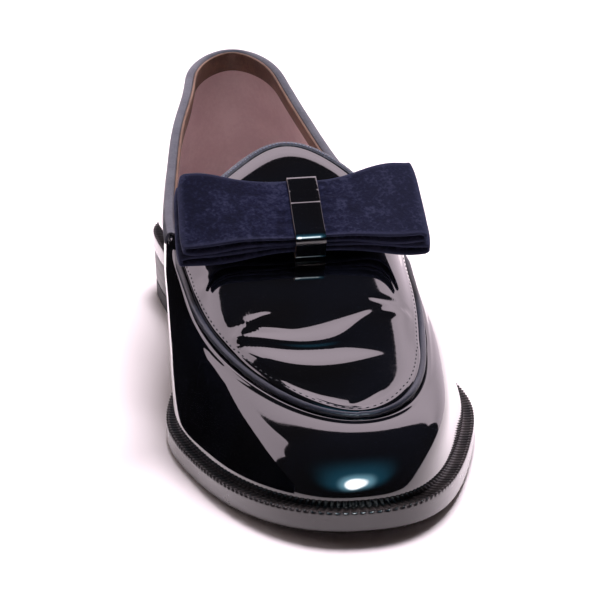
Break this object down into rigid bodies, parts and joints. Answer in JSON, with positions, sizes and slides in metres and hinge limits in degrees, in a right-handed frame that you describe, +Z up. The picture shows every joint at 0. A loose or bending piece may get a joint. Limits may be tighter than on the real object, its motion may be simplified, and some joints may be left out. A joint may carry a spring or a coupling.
{
  "type": "patent leather loafer",
  "caption": "Left-foot patent leather loafer with a piped apron, a suede ribbon bow held by a strip, bound collar and tongue, welted leather sole and low heel, to be worn on the foot.",
  "frame": {"origin": "on the floor, under the middle of the shoe's bounding box", "axes": "+Z up from the floor, -Y towards the toe, -X towards the inner side of the left foot"},
  "size_m": [0.1023, 0.3, 0.0907],
  "materials": {
    "patent": "very glossy patent leather",
    "piping": "satin rolled leather",
    "binding": "soft satin leather",
    "suede": "napped suede",
    "lining": "matt vegetable-tanned leather",
    "welt": "wheeled and waxed leather",
    "sole": "inked and polished sole leather",
    "rubber": "matt moulded rubber"
  },
  "bodies": {
    "root": {"upper": "patent", "apron_piping": "piping", "collar_binding": "binding", "tongue_binding": "binding", "insole": "lining", "welt": "welt", "outsole": "sole", "heel_stack": "sole", "heel_top_piece": "rubber", "bow_back_loop": "suede", "bow_front_loop": "suede", "bow_knot": "patent"}
  },
  "joints": []
}
